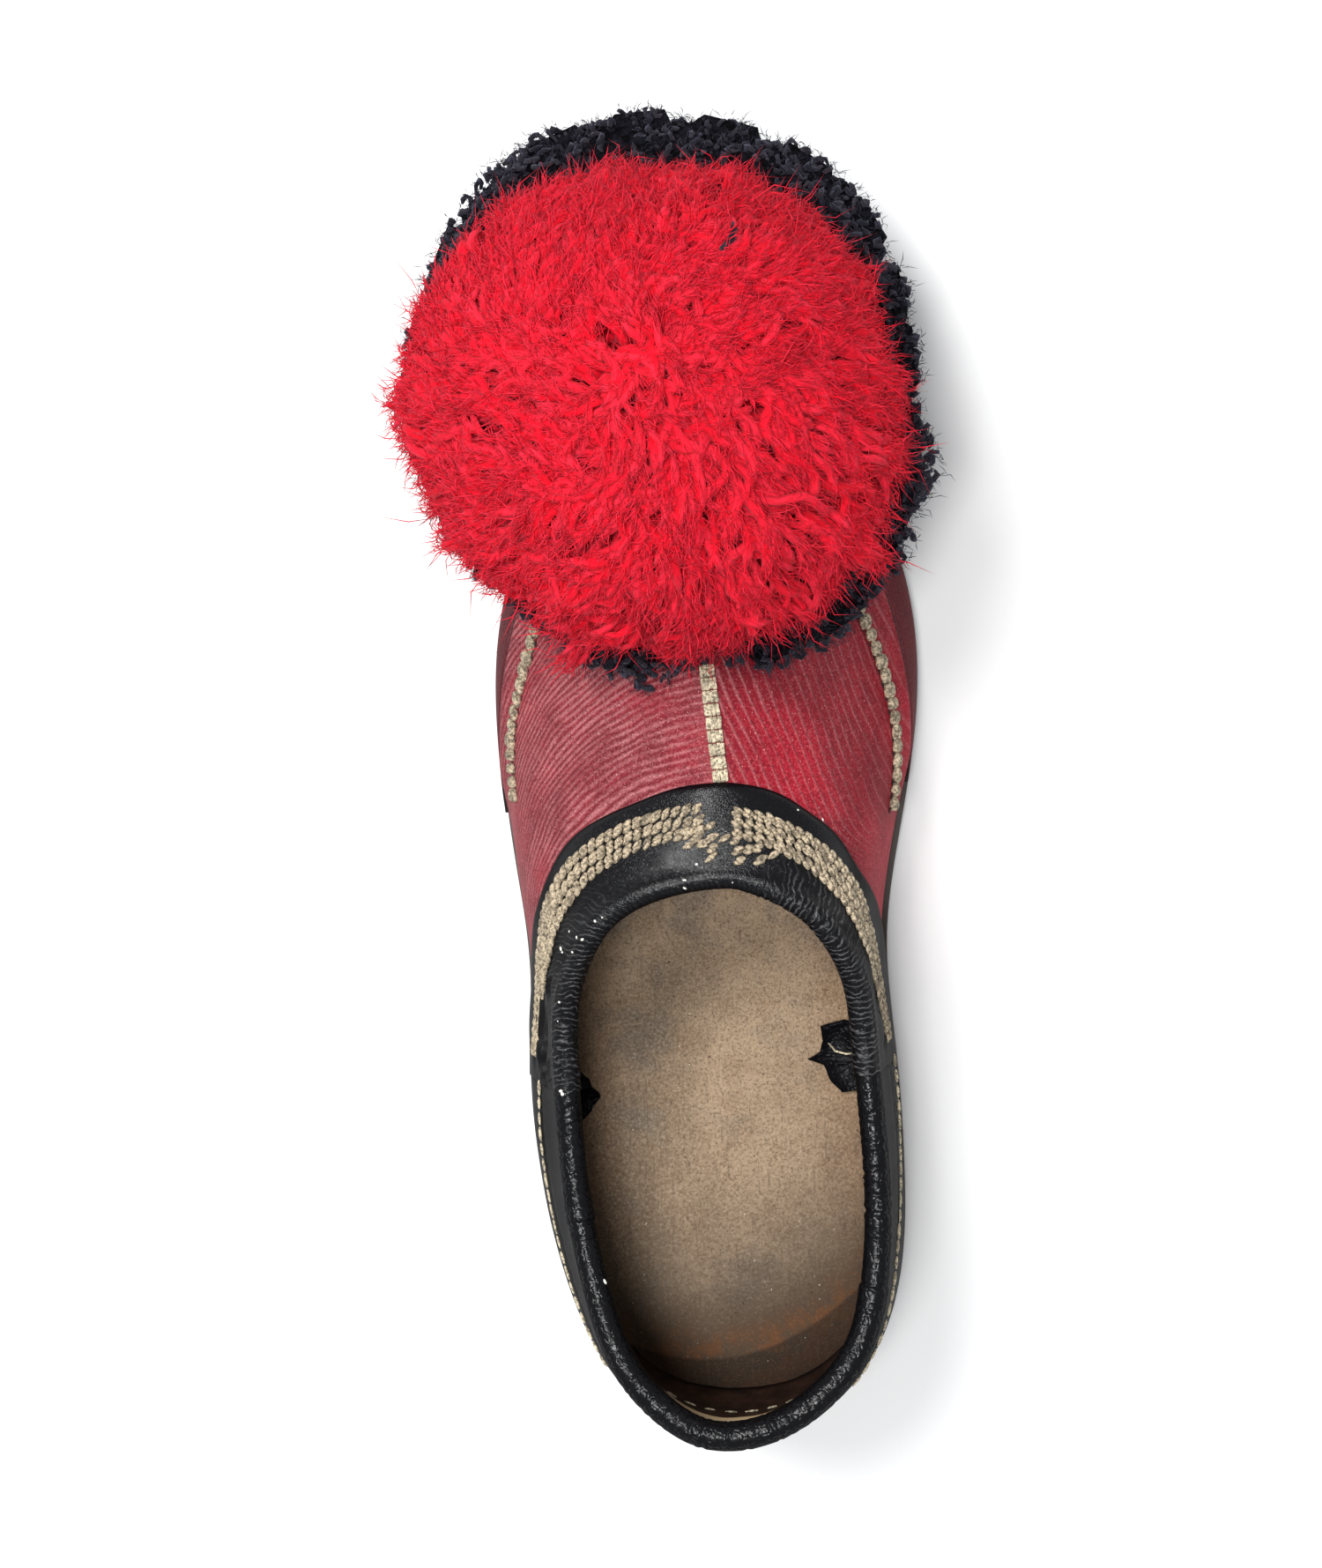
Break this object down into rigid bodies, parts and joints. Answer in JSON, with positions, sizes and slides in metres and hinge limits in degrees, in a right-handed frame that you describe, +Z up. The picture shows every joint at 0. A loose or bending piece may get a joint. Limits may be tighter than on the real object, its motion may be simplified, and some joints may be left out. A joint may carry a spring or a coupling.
{
  "type": "tsarouhi pom pom shoe",
  "caption": "Left leather clog with a turned-up toe, a stitched and bound open collar, a low heel and a large wool pompom over the toe.",
  "frame": {"origin": "on the floor, under the middle of the shoe's box", "axes": "+Y from the heel to the toe, +X towards the inner side of the foot, +Z up"},
  "size_m": [0.1166, 0.3082, 0.1161],
  "materials": {
    "red_leather": "rubbed, fine grain, satin",
    "black_leather": "polished, creased",
    "sole_leather": "dull, stained edge",
    "insole_board": "raw, fibrous",
    "thread": "waxed linen",
    "red_wool": "cut pile wool",
    "black_wool": "looped wool"
  },
  "bodies": {
    "root": {"upper": "red_leather", "toe_rand": "red_leather", "quarter": "black_leather", "collar_band_front": "black_leather", "collar_band_back": "black_leather", "collar_binding": "black_leather", "tab_lateral": "black_leather", "tab_medial": "black_leather", "outsole": "sole_leather", "heel_lift": "sole_leather", "heel_top_piece": "sole_leather", "insole": "insole_board", "centre_seam": "thread", "side_seam_lateral": "thread", "side_seam_medial": "thread", "pompom_red": "red_wool", "pompom_black": "black_wool"}
  },
  "joints": []
}
